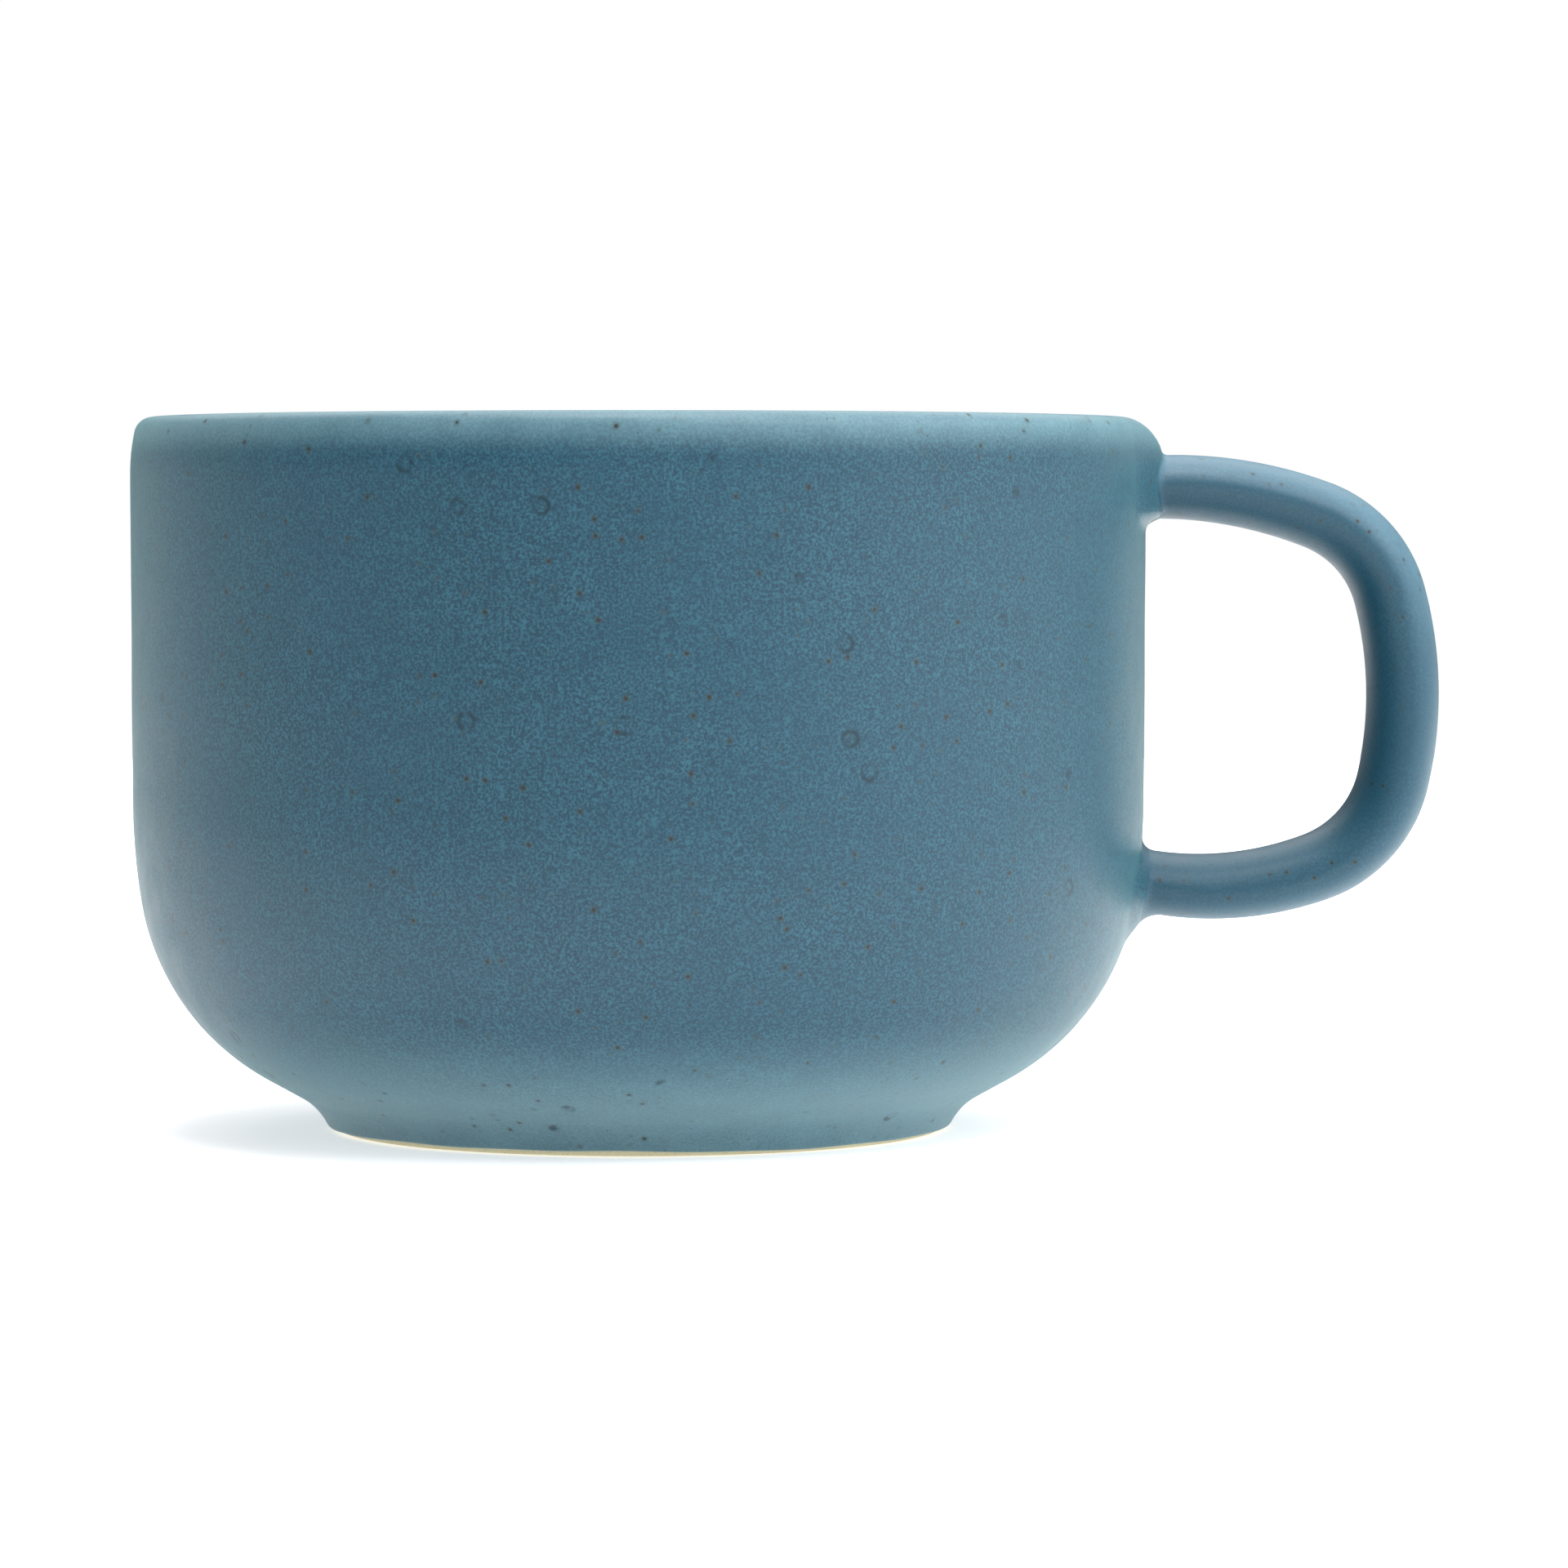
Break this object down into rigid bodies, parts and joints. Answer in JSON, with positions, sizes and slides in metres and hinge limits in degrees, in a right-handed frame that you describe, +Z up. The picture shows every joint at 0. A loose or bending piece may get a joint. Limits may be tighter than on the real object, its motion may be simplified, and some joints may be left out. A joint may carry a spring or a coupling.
{
  "type": "ceramic mug",
  "caption": "Wide, low round-bottomed stoneware mug on a turned foot ring, with a D-shaped loop handle and a satin glaze.",
  "frame": {"origin": "on the cup's axis, in the plane that its foot stands on", "axes": "+Z up along the cup's axis, +X towards the handle"},
  "size_m": [0.1288, 0.1, 0.0702],
  "materials": {
    "bare_stoneware": "unglazed, fine matt stoneware with a few iron specks",
    "slip": "fired joining slip, matt",
    "blue_glaze": "satin blue glaze that breaks to pale grey-green at edges, with fine pale crystals, iron specks and healed pinholes"
  },
  "bodies": {
    "root": {"cup_body": "bare_stoneware", "foot_ring": "bare_stoneware", "handle": "bare_stoneware", "upper_handle_joint": "slip", "lower_handle_joint": "slip", "outer_glaze": "blue_glaze", "inner_glaze": "blue_glaze", "handle_glaze": "blue_glaze", "base_glaze": "blue_glaze"}
  },
  "joints": []
}
